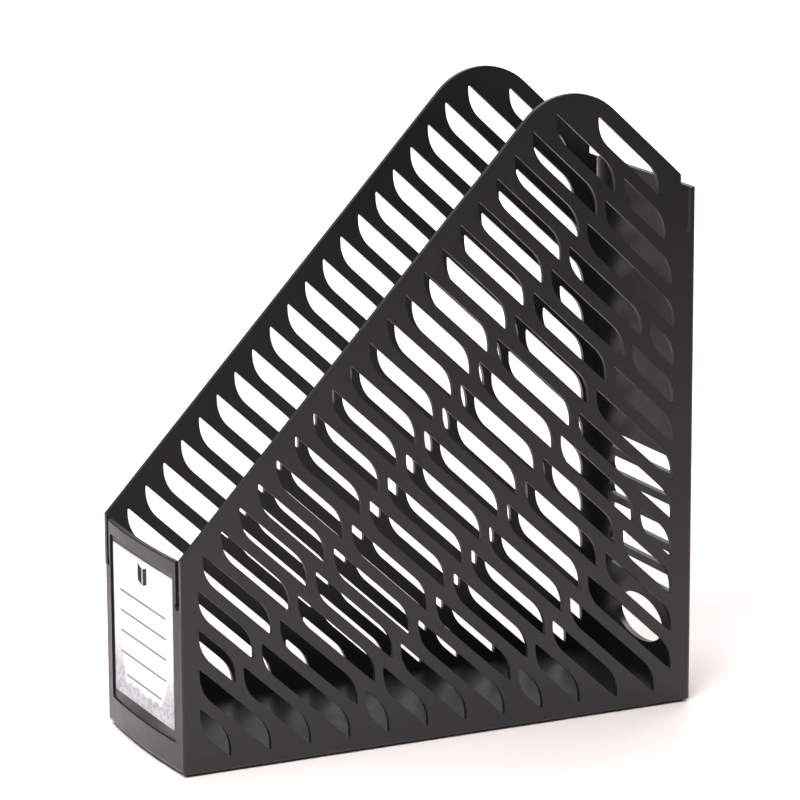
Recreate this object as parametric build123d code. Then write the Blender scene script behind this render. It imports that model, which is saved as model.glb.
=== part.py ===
"""Magazine file holder with cut-away sides.

Two pierced side panels stand on the edges of a base plate. A bulged front
panel with a recessed label card and a slotted back panel close the ends.
All joints are hidden tongues in grooves. Units are mm, the label faces -Y.
"""
import os
from math import cos, radians, sin, sqrt
from build123d import (Axis, Box, Cylinder, Edge, Ellipse, Face, Plane, Polyline, Pos,
                       RectangleRounded, Rot, SlotOverall, ThreePointArc, Wire,
                       export_step, extrude, fillet, loft, make_face, mirror)

# overall shell
WIDTH = 88.6
WALL = 2.3
FRONT_Y = -124.0
FRONT_WALL = 2.4
BACK_Y = 126.0
BACK_WALL = 2.8
FLOOR = 3.2
FOOT = 0.8
HALF = WIDTH / 2
INNER = HALF - WALL
FRONT_IN = FRONT_Y + FRONT_WALL
BACK_IN = BACK_Y - BACK_WALL

# side profile
LIP_Z = 97.3
SLOPE = radians(47.13)
CROWN_Y = 63.3
CROWN_Z = 255.0
CROWN_R = 30.0
FALL = radians(43.0)
NOTCH_Y = 118.0
NOTCH_Z = 240.7
NOTCH_R = 1.6
HEEL_Z = 238.6
SIDE_EDGE_R = 1.4
FRONT_EDGE_R = 2.2
BACK_EDGE_R = 2.4
FRONT_CORNER_R = 1.2
BACK_CORNER_R = 2.2

# relief slots between the walls
FRONT_SLOT = 3.0
FRONT_SLOT_Z = 76.1
FRONT_RELIEF_R = 1.9
BACK_SLOT = 1.3
BACK_SLOT_Z = 219.3
BACK_RELIEF_R = 1.15

# pierced leaf pattern, strips run down towards the back
LEAF_W = 7.8
LEAF_DROP = 3.0
LEAF_TIP_R = 0.45
STRIP_Y = -95.29
STRIP_Z = 46.64
STRIP_STEP = (8.66, 9.61)
ROW_PITCH = 55.4
LEAF_LEN = 57.4
SHORTEST = 21.0
FIRST_STRIP = -2
LAST_STRIP = 22
LAG_STRIP = 8
LAG = 0.25
TIP_LINE_Z = 98.1
TIP_LINE = radians(47.3)
TIP_MARGIN = 6.84
CROWN_MARGIN = 6.55
FIELD_FRONT = -116.0
FIELD_BACK = 115.4
FIELD_FLOOR = 6.6
TAPER_Z = 185.0
TAPER = 0.168
CROWN_LEAF_W = 7.0
CROWN_LEAF_MARGIN = 6.8

# front panel
FRONT_TOP = 96.0
BULGE = 2.1
RIM_R = 0.8
RIM_WALL = 1.9
RIM_LOW = 91.6
RECESS_W = 74.0
RECESS_LOW = 14.0
RECESS_HIGH = 89.9
RECESS_Y = FRONT_Y + 0.3
RECESS_CORNER_R = 1.2
RAMP_TOP = 18.2
RAMP_STEP = 0.8
RAMP_HEAD_RISE = 0.02
LABEL_W = 68.0
LABEL_LOW = 18.7
LABEL_HIGH = 86.8
LABEL_T = 0.4
LABEL_CORNER_R = 0.5

# back panel
BACK_TOP = 238.6
VENT_L = 60.0
VENT_H = 7.5
VENT_PITCH = 11.16
VENT_Z = 51.7
VENTS = 6
FINGER_A = 22.0
FINGER_B = 10.8
FINGER_Z = 28.8

# tongue and groove joints
TONGUE = 1.0
TONGUE_T = 1.0
PLAY = 0.05
BASE_TONGUE_Z = 1.8
JOINT_LOW = 4.0
FRONT_JOINT_TOP = 72.0
BACK_JOINT_TOP = 214.0
FRONT_TONGUE_Y = FRONT_Y + 0.8
SIDE_TONGUE_X = INNER + 0.65


def block(x0, x1, y0, y1, z0, z1):
    """Box between two opposite corners."""
    solid = Box(x1 - x0, y1 - y0, z1 - z0)
    return Pos((x0 + x1) / 2, (y0 + y1) / 2, (z0 + z1) / 2) * solid


def on_side(y, z):
    """Point on the inner plane of the right side wall."""
    return (INNER, y, z)


def line(a, b):
    return Edge.make_line(on_side(*a), on_side(*b))


def arc(a, middle, b):
    return Edge.make_three_point_arc(on_side(*a), on_side(*middle), on_side(*b))


def along(point, angle, distance):
    return (point[0] + distance * cos(angle), point[1] + distance * sin(angle))


# ---------------------------------------------------------------- leaf pattern
def tip(point, heading):
    """Small round at a leaf tip between its long flank and its short upright edge."""
    half = (radians(90) - FALL) / 2
    flank = along(point, heading, LEAF_TIP_R / sin(half) * cos(half))
    upright = along(point, heading - 2 * half, LEAF_TIP_R / sin(half) * cos(half))
    middle = along(point, heading - half, LEAF_TIP_R / sin(half) - LEAF_TIP_R)
    return flank, middle, upright


def leaf(start, length, width):
    """Wire of one leaf: long straight flanks, each end drawn down to a tip."""
    radius = (width - LEAF_DROP * cos(FALL)) / (1 - sin(FALL))
    end = along(along(start, -FALL, length), -FALL - radians(90), width)
    low = (start[0], start[1] - LEAF_DROP)
    low_centre = (low[0] + radius, low[1])
    high = (end[0], end[1] + LEAF_DROP)
    high_centre = (high[0] - radius, high[1])
    turn = radians(90) - FALL
    low_mid = along(low_centre, radians(180) + turn / 2, radius)
    low_end = along(low_centre, radians(180) + turn, radius)
    high_mid = along(high_centre, turn / 2, radius)
    high_end = along(high_centre, turn, radius)
    top_flank, top_middle, top_upright = tip(start, -FALL)
    foot_flank, foot_middle, foot_upright = tip(end, radians(180) - FALL)
    return Wire([
        arc(top_flank, top_middle, top_upright),
        line(top_upright, low),
        arc(low, low_mid, low_end),
        line(low_end, foot_flank),
        arc(foot_flank, foot_middle, foot_upright),
        line(foot_upright, high),
        arc(high, high_mid, high_end),
        line(high_end, top_flank),
    ])


def first_reach(anchor):
    """Distance along a strip's upper line from its anchor to the start of the field."""
    by_front = (FIELD_FRONT - anchor[0]) / cos(FALL)
    gap_y = anchor[0] - FRONT_Y
    gap_z = anchor[1] - TIP_LINE_Z
    inside = gap_y * sin(TIP_LINE) - gap_z * cos(TIP_LINE)
    by_slope = (TIP_MARGIN - inside) / sin(TIP_LINE + FALL)
    off_y = anchor[0] - CROWN_Y
    off_z = anchor[1] - CROWN_Z
    ahead = off_y * cos(FALL) - off_z * sin(FALL)
    room = (CROWN_R - CROWN_MARGIN) ** 2 - off_y ** 2 - off_z ** 2 + ahead ** 2
    if off_y * sin(FALL) + off_z * cos(FALL) < 0 or room < 0:
        return max(by_front, by_slope)
    return max(by_front, by_slope, -ahead - sqrt(room))


def last_reach(anchor):
    """Distance along a strip's lower line from its anchor to the end of the field."""
    y0, z0 = along(anchor, -FALL - radians(90), LEAF_W)
    by_floor = (z0 - FIELD_FLOOR) / sin(FALL)
    by_back = (FIELD_BACK - y0) / cos(FALL)
    by_taper = (FIELD_BACK - y0 - TAPER * (z0 - TAPER_Z)) / (cos(FALL) - TAPER * sin(FALL))
    return min(by_floor, by_back, by_taper)


def strip_leaves(index):
    """Leaves of one strip, short offcuts are joined to their neighbour."""
    anchor = (STRIP_Y + index * STRIP_STEP[0], STRIP_Z + index * STRIP_STEP[1])
    first = first_reach(anchor)
    last = last_reach(anchor)
    lag = LAG * max(0, index - LAG_STRIP)
    spans = []
    for row in range(-5, 6):
        begin = max(row * ROW_PITCH + lag, first)
        finish = min(row * ROW_PITCH + lag + LEAF_LEN, last)
        if finish - begin > 0:
            spans.append([begin, finish])
    if len(spans) > 1 and spans[0][1] - spans[0][0] < SHORTEST:
        spans[1][0] = spans[0][0]
        spans.pop(0)
    if len(spans) > 1 and spans[-1][1] - spans[-1][0] < SHORTEST:
        spans[-2][1] = spans[-1][1]
        spans.pop()
    kept = [span for span in spans if span[1] - span[0] > SHORTEST]
    return [leaf(along(anchor, -FALL, a), b - a, LEAF_W) for a, b in kept]


def crown_leaf():
    """Single narrower leaf under the falling edge."""
    foot = along((CROWN_Y, CROWN_Z), radians(90) - FALL, CROWN_R - CROWN_LEAF_MARGIN)
    lead = sqrt((CROWN_R - CROWN_MARGIN) ** 2 - (CROWN_R - CROWN_LEAF_MARGIN) ** 2)
    start = along(foot, -FALL, -lead)
    y0, z0 = along(start, -FALL - radians(90), CROWN_LEAF_W)
    reach = (FIELD_BACK - y0 - TAPER * (z0 - TAPER_Z)) / (cos(FALL) - TAPER * sin(FALL))
    return leaf(start, reach, CROWN_LEAF_W)


# ---------------------------------------------------------------- rounding tools
def vertical_corner(x, y, radius, z1):
    """Stock outside a rounded vertical corner at x, y; the signs say which corner."""
    cx = x - radius if x > 0 else x + radius
    cy = y - radius if y > 0 else y + radius
    corner = block(min(x, cx), max(x, cx), min(y, cy), max(y, cy), -1, z1)
    return corner - Pos(cx, cy, z1 / 2) * Cylinder(radius, z1 + 4)


def bottom_edge_along_y(x, radius):
    cx = x - radius if x > 0 else x + radius
    edge = block(min(x, cx), max(x, cx), FRONT_Y - 5, BACK_Y + 5, FOOT, FOOT + radius)
    return edge - Pos(cx, 0, FOOT + radius) * Rot(90, 0, 0) * Cylinder(radius, 300)


def bottom_edge_along_x(y, radius):
    cy = y - radius if y > 0 else y + radius
    edge = block(-HALF - 5, HALF + 5, min(y, cy), max(y, cy),
                 FOOT, FOOT + radius)
    return edge - Pos(0, cy, FOOT + radius) * Rot(0, 90, 0) * Cylinder(radius, 120)


# ---------------------------------------------------------------- side panels
def right_side():
    rise_end = along((CROWN_Y, CROWN_Z), SLOPE + radians(90), CROWN_R)
    crown_top = (CROWN_Y, CROWN_Z + CROWN_R)
    fall_start = along((CROWN_Y, CROWN_Z), radians(90) - FALL, CROWN_R)
    fall_end = along(fall_start, -FALL, (NOTCH_Y - fall_start[0]) / cos(FALL))
    outline = Wire([
        line((FRONT_Y, FOOT), (FRONT_Y, LIP_Z)),
        line((FRONT_Y, LIP_Z), rise_end),
        arc(rise_end, crown_top, fall_start),
        line(fall_start, fall_end),
        line(fall_end, (NOTCH_Y, NOTCH_Z)),
        line((NOTCH_Y, NOTCH_Z), (BACK_IN, HEEL_Z)),
        line((BACK_IN, HEEL_Z), (BACK_IN, FOOT)),
        line((BACK_IN, FOOT), (FRONT_Y, FOOT)),
    ])
    holes = [crown_leaf()]
    for index in range(FIRST_STRIP, LAST_STRIP):
        holes.extend(strip_leaves(index))
    panel = extrude(Face(outline, holes), WALL, dir=(1, 0, 0))
    heel = panel.edges().filter_by(Axis.X).sort_by_distance((HALF, NOTCH_Y, fall_end[1]))[0]
    panel = fillet(heel, NOTCH_R)
    panel -= block(INNER - 1, HALF + 1, BACK_IN - BACK_SLOT, BACK_IN + 1, BACK_SLOT_Z, 260)
    relief = Rot(0, 90, 0) * Cylinder(BACK_RELIEF_R, 2 * WIDTH)
    panel -= Pos(0, BACK_IN - BACK_SLOT / 2, BACK_SLOT_Z) * relief
    panel -= block(INNER, INNER + TONGUE + PLAY, FRONT_IN - TONGUE - PLAY, BACK_IN,
                   BASE_TONGUE_Z - PLAY, BASE_TONGUE_Z + TONGUE_T + PLAY)
    panel -= block(INNER, INNER + TONGUE + PLAY, FRONT_TONGUE_Y - PLAY,
                   FRONT_TONGUE_Y + TONGUE_T + PLAY, JOINT_LOW - PLAY, FRONT_JOINT_TOP + PLAY)
    panel += block(SIDE_TONGUE_X, SIDE_TONGUE_X + TONGUE_T, BACK_IN, BACK_IN + TONGUE,
                   JOINT_LOW, BACK_JOINT_TOP)
    panel -= vertical_corner(HALF, FRONT_Y, FRONT_CORNER_R, FRONT_SLOT_Z - FRONT_RELIEF_R)
    panel -= bottom_edge_along_x(FRONT_Y, FRONT_EDGE_R)
    return panel - bottom_edge_along_y(HALF, SIDE_EDGE_R)


# ---------------------------------------------------------------- front panel and label
def wall_section(z, front, rise):
    """Front wall section at height z, its outer face bowed forward by rise."""
    sides = Polyline((-INNER, front), (-INNER, FRONT_IN), (INNER, FRONT_IN), (INNER, front))
    bow = ThreePointArc((INNER, front), (0, front - rise), (-INNER, front))
    return Pos(0, 0, z) * make_face([sides, bow])


def upright_slab(width, low, high, radius, depth):
    """Slab from the flat recess floor outwards, its outline round-cornered."""
    outline = Plane.XZ * RectangleRounded(width, high - low, radius)
    return Pos(0, RECESS_Y, (low + high) / 2) * extrude(outline, depth)


def front_panel():
    panel = extrude(wall_section(FOOT, FRONT_Y, BULGE), FRONT_TOP - FOOT, dir=(0, 0, 1))
    foremost = panel.edges().group_by(Axis.Y)[0]
    panel = fillet(foremost.sort_by(Axis.Z)[0], FRONT_EDGE_R)
    rim = panel.edges().filter_by(lambda e: abs(e.center().Z - FRONT_TOP) < 0.01)
    panel = fillet(rim.sort_by(Axis.Y)[0], RIM_R)
    rim_back = wall_section(RIM_LOW, FRONT_Y + RIM_WALL, BULGE)
    panel -= extrude(rim_back, FRONT_TOP - RIM_LOW + 1, dir=(0, 0, 1))
    ramp_foot = wall_section(RECESS_LOW, FRONT_Y + RAMP_STEP, BULGE)
    ramp_head = wall_section(RAMP_TOP, RECESS_Y, RAMP_HEAD_RISE)
    recess = upright_slab(RECESS_W, RECESS_LOW, RECESS_HIGH, RECESS_CORNER_R, 10)
    panel -= recess - loft([ramp_foot, ramp_head], ruled=True)
    relief = Rot(90, 0, 0) * Cylinder(FRONT_RELIEF_R, 40)
    for side in (-1, 1):
        seam = side * INNER
        slot = side * (INNER - FRONT_SLOT)
        panel -= block(min(seam, slot), max(seam, slot), FRONT_Y - 5, FRONT_IN + 1,
                       FRONT_SLOT_Z, FRONT_TOP + 1)
        panel -= Pos(side * (INNER - FRONT_RELIEF_R), FRONT_Y, FRONT_SLOT_Z) * relief
        tongue = side * (INNER + TONGUE)
        panel += block(min(seam, tongue), max(seam, tongue), FRONT_TONGUE_Y,
                       FRONT_TONGUE_Y + TONGUE_T, JOINT_LOW, FRONT_JOINT_TOP)
    panel -= block(-INNER, INNER, FRONT_IN - TONGUE - PLAY, FRONT_IN,
                   BASE_TONGUE_Z - PLAY, BASE_TONGUE_Z + TONGUE_T + PLAY)
    return panel


def spine_label():
    """Flat card on the floor of the recess."""
    return upright_slab(LABEL_W, LABEL_LOW, LABEL_HIGH, LABEL_CORNER_R, LABEL_T)


# ---------------------------------------------------------------- back panel and base
def back_panel():
    panel = block(-HALF, HALF, BACK_IN, BACK_Y, FOOT, BACK_TOP)
    vent = extrude(Plane.XZ * SlotOverall(VENT_L, VENT_H), 20, both=True)
    for row in range(VENTS):
        panel -= Pos(0, BACK_Y, VENT_Z + row * VENT_PITCH) * vent
    finger = extrude(Plane.XZ * Ellipse(FINGER_A, FINGER_B), 20, both=True)
    panel -= Pos(0, BACK_Y, FINGER_Z) * finger
    for side in (-1, 1):
        panel -= vertical_corner(side * HALF, BACK_Y, BACK_CORNER_R, BACK_TOP + 1)
        panel -= bottom_edge_along_y(side * HALF, SIDE_EDGE_R)
        a = side * (SIDE_TONGUE_X - PLAY)
        b = side * (SIDE_TONGUE_X + TONGUE_T + PLAY)
        panel -= block(min(a, b), max(a, b), BACK_IN, BACK_IN + TONGUE + PLAY,
                       JOINT_LOW - PLAY, BACK_JOINT_TOP + PLAY)
    panel -= block(-INNER - TONGUE - PLAY, INNER + TONGUE + PLAY, BACK_IN,
                   BACK_IN + TONGUE + PLAY, BASE_TONGUE_Z - PLAY, BASE_TONGUE_Z + TONGUE_T + PLAY)
    return panel - bottom_edge_along_x(BACK_Y, BACK_EDGE_R)


def base_plate():
    """Floor plate, its underside stands proud of the wall bottoms."""
    plate = block(-INNER, INNER, FRONT_IN, BACK_IN, 0, FLOOR)
    plate += block(-INNER - TONGUE, INNER + TONGUE, FRONT_IN - TONGUE, BACK_IN + TONGUE,
                   BASE_TONGUE_Z, BASE_TONGUE_Z + TONGUE_T)
    return plate


os.makedirs("parts", exist_ok=True)
near = right_side()
export_step(near, "parts/right_side_panel.step")
export_step(mirror(near, about=Plane.YZ), "parts/left_side_panel.step")
export_step(front_panel(), "parts/front_panel.step")
export_step(spine_label(), "parts/spine_label.step")
export_step(back_panel(), "parts/back_panel.step")
export_step(base_plate(), "parts/base_plate.step")
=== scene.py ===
from math import radians

import bpy
from mathutils import Matrix, Vector

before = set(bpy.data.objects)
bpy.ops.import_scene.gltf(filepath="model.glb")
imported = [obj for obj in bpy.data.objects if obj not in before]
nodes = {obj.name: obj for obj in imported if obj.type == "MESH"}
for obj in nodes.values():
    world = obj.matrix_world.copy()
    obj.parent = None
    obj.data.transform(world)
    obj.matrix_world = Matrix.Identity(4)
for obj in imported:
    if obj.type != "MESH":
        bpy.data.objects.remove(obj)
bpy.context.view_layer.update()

scene = bpy.context.scene

PANELS = ("right_side_panel", "left_side_panel", "front_panel", "back_panel", "base_plate")

# noises are scale, detail and roughness; ramps are start, end, value before, value after

# plastic
GRAIN = (2400.0, 2.0, 0.6)
DRIFT = (11.0, 4.0, 0.55)
HAZE = (48.0, 5.0, 0.65)
DRIFT_RAMP = (0.35, 0.68)
DUST_RAMP = (0.56, 0.80, 0.0, 0.30)
ROUGH_RAMP = (0.3, 0.75, 0.29, 0.38)
PLASTIC_DEEP = (0.0065, 0.0065, 0.0070, 1.0)
PLASTIC_SOFT = (0.0095, 0.0093, 0.0099, 1.0)
PLASTIC_DUST = (0.0220, 0.0210, 0.0212, 1.0)
GRAIN_ROUGH = 0.06
PLASTIC_IOR = 1.5
GRAIN_STRENGTH = 0.22
GRAIN_DEPTH = 0.00005

# card print, metres in the holder's own frame
FIBRE = (900.0, 4.0, 0.6)
FIBRE_RAMP = (0.3, 0.7)
PAPER_DIM = (0.86, 0.865, 0.88, 1.0)
PAPER_BRIGHT = (0.92, 0.92, 0.93, 1.0)
PAPER_ROUGH = (0.60, 0.72)
PAPER_SPECULAR = 0.25
FIBRE_STRENGTH = 0.08
FIBRE_DEPTH = 0.00005
MOTTLE = (520.0, 2.0, 0.5)
MOTTLE_RAMP = (0.40, 0.60)
FLECK = (1300.0, 1.0, 0.5)
FLECK_RAMP = (0.48, 0.62, 0.0, 0.45)
WANDER = (160.0, 2.0, 0.5)
WANDER_REACH = 0.006
BORDER_DARK = (0.38, 0.39, 0.425, 1.0)
BORDER_LIGHT = (0.57, 0.58, 0.62, 1.0)
BORDER_FLECK = (0.69, 0.70, 0.745, 1.0)
BORDER_TOP = 0.0260
BORDER_EDGE = (-0.0004, 0.0010)
LEFT_CLIMB = (-0.0200, -0.0300, 0.0, 0.0270)
RIGHT_CLIMB = (0.0190, 0.0330, 0.0, 0.0180)
BORDER_FADE = (0.025, 0.048, 1.0, 0.15)
INK = (0.07, 0.07, 0.08, 1.0)
INK_COVER = 0.9
LINE_THICKNESS = (0.00030, 0.00052)
LINE_HALF = 0.0262
LAST_LINE_HALF = 0.0202
LINE_HEIGHTS = (0.06695, 0.05768, 0.04836, 0.03869)
LAST_LINE_HEIGHT = 0.02894
LINE_SOFTNESS = 0.0003
MARK_INK = (0.008, 0.008, 0.009, 1.0)
MARK_Z = 0.0789
MARK_SLOPE = 0.30
MARK_HALF_HEIGHT = 0.0037
MARK_HALF_WIDTH = 0.0050
MARK_HALF_GAP = 0.00035
MARK_SOFTNESS = 0.0002

# studio
FLOOR_REACH = 6.0
FLOOR_DROP = 0.0002
FLOOR_NOISE = (3.0, 3.0, 0.55)
FLOOR_RAMP = (0.3, 0.7)
FLOOR_COLOUR = (0.95, 0.868, 0.845, 1.0)
FLOOR_DRIFT = 1.01
FLOOR_ROUGH = 0.7
WORLD_COLOUR = (1.0, 0.995, 0.99, 1.0)
WORLD_STRENGTH = 0.16
LAMPS = (
    # name, place, target, size, power, spread in degrees
    ("soft_near", (0.45, -0.45, 0.80), (0.17, -0.08, 0.0), 0.5, 3.7, 100.0),
    ("soft_front_left", (-0.9, -0.9, 1.5), (-0.6, -0.5, 0.0), 1.0, 7.3, 180.0),
    ("soft_background", (-1.7, 0.8, 2.2), (-1.5, 0.7, 0.0), 2.2, 44.0, 100.0),
    ("soft_backdrop", (-3.3, 0.8, 1.4), (0.0, 0.0, 0.1), 3.0, 22.0, 180.0),
)
LENS = 186.667
SENSOR = 36.0
CAMERA_RIGHT = (0.42828172, 0.90363449, -0.00441328)
CAMERA_UP = (-0.21047414, 0.10450235, 0.97199789)
CAMERA_BACK = (0.87879201, -0.41536005, 0.23494814)
CAMERA_PLACE = (1.62412, -0.76674, 0.57945)
CAMERA_REACH = 50.0


class Graph:
    """Small helper that adds and links shader nodes."""

    def __init__(self, name):
        self.material = bpy.data.materials.new(name)
        self.material.use_nodes = True
        self.tree = self.material.node_tree
        self.tree.nodes.clear()
        self.output = self.tree.nodes.new("ShaderNodeOutputMaterial")
        self.shader = self.tree.nodes.new("ShaderNodeBsdfPrincipled")
        self.link(self.shader.outputs["BSDF"], self.output.inputs["Surface"])
        self.place = self.tree.nodes.new("ShaderNodeTexCoord").outputs["Object"]

    def link(self, source, target):
        self.tree.links.new(source, target)

    def feed(self, socket, value):
        if isinstance(value, bpy.types.NodeSocket):
            self.link(value, socket)
        else:
            socket.default_value = value

    def math(self, operation, a, b=0.0):
        node = self.tree.nodes.new("ShaderNodeMath")
        node.operation = operation
        self.feed(node.inputs[0], a)
        self.feed(node.inputs[1], b)
        return node.outputs[0]

    def ramp(self, value, low, high, out_low=0.0, out_high=1.0):
        node = self.tree.nodes.new("ShaderNodeMapRange")
        node.interpolation_type = "SMOOTHSTEP"
        self.feed(node.inputs["Value"], value)
        self.feed(node.inputs["From Min"], low)
        self.feed(node.inputs["From Max"], high)
        self.feed(node.inputs["To Min"], out_low)
        self.feed(node.inputs["To Max"], out_high)
        return node.outputs["Result"]

    def noise(self, scale, detail, roughness):
        node = self.tree.nodes.new("ShaderNodeTexNoise")
        node.inputs["Scale"].default_value = scale
        node.inputs["Detail"].default_value = detail
        node.inputs["Roughness"].default_value = roughness
        self.link(self.place, node.inputs["Vector"])
        return node.outputs["Fac"]

    def axes(self):
        node = self.tree.nodes.new("ShaderNodeSeparateXYZ")
        self.link(self.place, node.inputs["Vector"])
        return node.outputs

    def blend(self, factor, a, b):
        node = self.tree.nodes.new("ShaderNodeMix")
        node.data_type = "RGBA"
        self.feed(node.inputs["Factor"], factor)
        self.feed(node.inputs["A"], a)
        self.feed(node.inputs["B"], b)
        return node.outputs["Result"]

    def bump(self, height, strength, distance):
        node = self.tree.nodes.new("ShaderNodeBump")
        node.inputs["Strength"].default_value = strength
        node.inputs["Distance"].default_value = distance
        self.feed(node.inputs["Height"], height)
        self.link(node.outputs["Normal"], self.shader.inputs["Normal"])


def black_plastic():
    """Satin moulded black plastic: fine grain, slow colour drift, faint handling haze."""
    g = Graph("black_plastic")
    grain = g.noise(*GRAIN)
    haze = g.noise(*HAZE)
    colour = g.blend(g.ramp(g.noise(*DRIFT), *DRIFT_RAMP), PLASTIC_DEEP, PLASTIC_SOFT)
    colour = g.blend(g.ramp(haze, *DUST_RAMP), colour, PLASTIC_DUST)
    g.link(colour, g.shader.inputs["Base Color"])
    rough = g.math("ADD", g.ramp(haze, *ROUGH_RAMP), g.math("MULTIPLY", grain, GRAIN_ROUGH))
    g.link(rough, g.shader.inputs["Roughness"])
    g.shader.inputs["IOR"].default_value = PLASTIC_IOR
    g.bump(grain, GRAIN_STRENGTH, GRAIN_DEPTH)
    return g.material


def with_border(g, colour, x, z):
    """Pale mottle printed along the bottom of the card, climbing both edges."""
    tone = g.blend(g.ramp(g.noise(*MOTTLE), *MOTTLE_RAMP), BORDER_DARK, BORDER_LIGHT)
    tone = g.blend(g.ramp(g.noise(*FLECK), *FLECK_RAMP), tone, BORDER_FLECK)
    centred = g.math("SUBTRACT", g.noise(*WANDER), 0.5)
    wander = g.math("MULTIPLY", centred, WANDER_REACH)
    climb = g.math("ADD", g.ramp(x, *LEFT_CLIMB), g.ramp(x, *RIGHT_CLIMB))
    top = g.math("ADD", climb, BORDER_TOP)
    below = g.math("ADD", g.math("SUBTRACT", top, z), wander)
    border = g.ramp(below, *BORDER_EDGE)
    return g.blend(g.math("MULTIPLY", border, g.ramp(z, *BORDER_FADE)), colour, tone)


def with_lines(g, colour, wide, z):
    """Five writing lines, the lowest one shorter."""
    lines = 0.0
    for height in LINE_HEIGHTS + (LAST_LINE_HEIGHT,):
        half = LAST_LINE_HALF if height == LAST_LINE_HEIGHT else LINE_HALF
        off = g.math("ABSOLUTE", g.math("SUBTRACT", z, height))
        stroke = g.ramp(off, *LINE_THICKNESS, 1.0, 0.0)
        inside = g.ramp(wide, half, half + LINE_SOFTNESS, 1.0, 0.0)
        lines = g.math("MAXIMUM", lines, g.math("MULTIPLY", stroke, inside))
    return g.blend(g.math("MULTIPLY", lines, INK_COVER), colour, INK)


def with_mark(g, colour, wide, z):
    """Plain open book: two dark leaves with a pale spine gap between them."""
    rise = g.math("SUBTRACT", z, MARK_Z)
    slope = g.math("MULTIPLY", wide, MARK_SLOPE)
    page = g.math("ABSOLUTE", g.math("SUBTRACT", rise, slope))
    tall = g.ramp(page, MARK_HALF_HEIGHT, MARK_HALF_HEIGHT + MARK_SOFTNESS, 1.0, 0.0)
    outer = g.ramp(wide, MARK_HALF_WIDTH, MARK_HALF_WIDTH + MARK_SOFTNESS, 1.0, 0.0)
    gap = g.ramp(wide, MARK_HALF_GAP, MARK_HALF_GAP + MARK_SOFTNESS)
    book = g.math("MULTIPLY", g.math("MULTIPLY", tall, outer), gap)
    return g.blend(book, colour, MARK_INK)


def label_card():
    """White printed card: writing lines, a small plain mark and a mottled pale border."""
    g = Graph("label_card")
    x, _, z = g.axes()
    wide = g.math("ABSOLUTE", x)
    fibre = g.noise(*FIBRE)
    colour = g.blend(g.ramp(fibre, *FIBRE_RAMP), PAPER_DIM, PAPER_BRIGHT)
    colour = with_border(g, colour, x, z)
    colour = with_lines(g, colour, wide, z)
    colour = with_mark(g, colour, wide, z)
    g.link(colour, g.shader.inputs["Base Color"])
    g.link(g.ramp(fibre, *FIBRE_RAMP, *PAPER_ROUGH), g.shader.inputs["Roughness"])
    g.shader.inputs["Specular IOR Level"].default_value = PAPER_SPECULAR
    g.bump(fibre, FIBRE_STRENGTH, FIBRE_DEPTH)
    return g.material


def floor_paint():
    """Matte pale floor paint with a barely visible drift."""
    g = Graph("floor_paint")
    tone = g.ramp(g.noise(*FLOOR_NOISE), *FLOOR_RAMP)
    lighter = tuple(min(1.0, c * FLOOR_DRIFT) for c in FLOOR_COLOUR[:3]) + (1.0,)
    g.link(g.blend(tone, FLOOR_COLOUR, lighter), g.shader.inputs["Base Color"])
    g.shader.inputs["Roughness"].default_value = FLOOR_ROUGH
    return g.material


def dress(piece, material):
    piece.data.materials.clear()
    piece.data.materials.append(material)


def area_light(name, place, target, size, power, spread):
    data = bpy.data.lights.new(name, "AREA")
    data.shape = "SQUARE"
    data.size = size
    data.energy = power
    data.spread = radians(spread)
    lamp = bpy.data.objects.new(name, data)
    scene.collection.objects.link(lamp)
    lamp.location = place
    aim = Vector(target) - Vector(place)
    lamp.rotation_euler = aim.to_track_quat("-Z", "Y").to_euler()


# holder
plastic = black_plastic()
card = label_card()
for panel_name in PANELS:
    dress(nodes[panel_name], plastic)
dress(nodes["spine_label"], card)

# floor
floor_mesh = bpy.data.meshes.new("floor")
signs = ((-1, -1), (1, -1), (1, 1), (-1, 1))
floor_corners = [(sx * FLOOR_REACH, sy * FLOOR_REACH, 0) for sx, sy in signs]
floor_mesh.from_pydata(floor_corners, [], [(0, 1, 2, 3)])
floor = bpy.data.objects.new("floor", floor_mesh)
scene.collection.objects.link(floor)
floor.data.materials.append(floor_paint())
floor.location.z = -FLOOR_DROP

# light
world = bpy.data.worlds.new("studio")
scene.world = world
world.use_nodes = True
sky = world.node_tree.nodes["Background"]
sky.inputs["Color"].default_value = WORLD_COLOUR
sky.inputs["Strength"].default_value = WORLD_STRENGTH
for lamp_settings in LAMPS:
    area_light(*lamp_settings)

# camera
lens = bpy.data.cameras.new("view")
lens.lens = LENS
lens.sensor_width = SENSOR
lens.clip_end = CAMERA_REACH
camera = bpy.data.objects.new("view", lens)
scene.collection.objects.link(camera)
facing = (Vector(CAMERA_RIGHT), Vector(CAMERA_UP), Vector(CAMERA_BACK))
spot = Matrix(facing).transposed().to_4x4()
spot.translation = Vector(CAMERA_PLACE)
camera.matrix_world = spot
scene.camera = camera
scene.view_settings.view_transform = "Standard"
